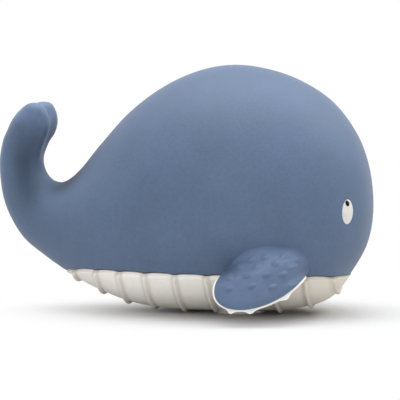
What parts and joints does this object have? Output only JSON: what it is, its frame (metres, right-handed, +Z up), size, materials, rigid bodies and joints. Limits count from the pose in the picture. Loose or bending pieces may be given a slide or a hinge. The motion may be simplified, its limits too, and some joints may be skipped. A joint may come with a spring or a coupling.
{
  "type": "squeaky bath toy",
  "caption": "Hollow rubber whale bath toy with a ribbed white belly, bumpy flippers, raised tail and a reed squeaker in its underside.",
  "frame": {"origin": "middle of the footprint on the floor that the toy rests on", "axes": "+X towards the head, +Y towards the animal's left side, +Z up"},
  "size_m": [0.1199, 0.0828, 0.0782],
  "materials": {
    "blue_rubber": "matte painted natural rubber",
    "white_rubber": "matte natural rubber",
    "eye_white": "satin paint on rubber",
    "pupil_black": "satin paint on rubber",
    "squeaker_plastic": "moulded",
    "reed_block_plastic": "moulded",
    "reed_brass": "rolled strip"
  },
  "bodies": {
    "body": {"body_shell": "blue_rubber", "belly_shell": "white_rubber", "left_eye_white": "eye_white", "right_eye_white": "eye_white", "left_pupil": "pupil_black", "right_pupil": "pupil_black", "squeaker_cup": "squeaker_plastic", "reed_block": "reed_block_plastic", "reed_clamp": "squeaker_plastic", "squeaker_cap": "squeaker_plastic"},
    "tail": {"tail": "blue_rubber"},
    "left_flipper": {"left_flipper": "blue_rubber", "left_flipper_backing": "white_rubber"},
    "right_flipper": {"right_flipper": "blue_rubber", "right_flipper_backing": "white_rubber"},
    "reed": {"reed_tongue": "reed_brass"}
  },
  "joints": [
    {"name": "tail_flex", "type": "hinge", "parent": "body", "child": "tail", "pos_m": [-0.0525, 0, 0.05181], "axis": [0, 1, 0], "range_deg": [-10, 12], "stiffness_Nm_per_rad": 0.15},
    {"name": "left_flipper_flex", "type": "hinge", "parent": "body", "child": "left_flipper", "pos_m": [0.02611, 0.033, 0.0223], "axis": [0.9135, 0, 0.4067], "range_deg": [-3, 30], "stiffness_Nm_per_rad": 0.05},
    {"name": "right_flipper_flex", "type": "hinge", "parent": "body", "child": "right_flipper", "pos_m": [0.02611, -0.033, 0.0223], "axis": [-0.9135, 0, -0.4067], "range_deg": [-3, 30], "stiffness_Nm_per_rad": 0.05},
    {"name": "reed_flex", "type": "hinge", "parent": "body", "child": "reed", "pos_m": [0.01752, 0, 0.00395], "axis": [0, 1, 0], "range_deg": [-3, 6], "stiffness_Nm_per_rad": 0.0001}
  ]
}
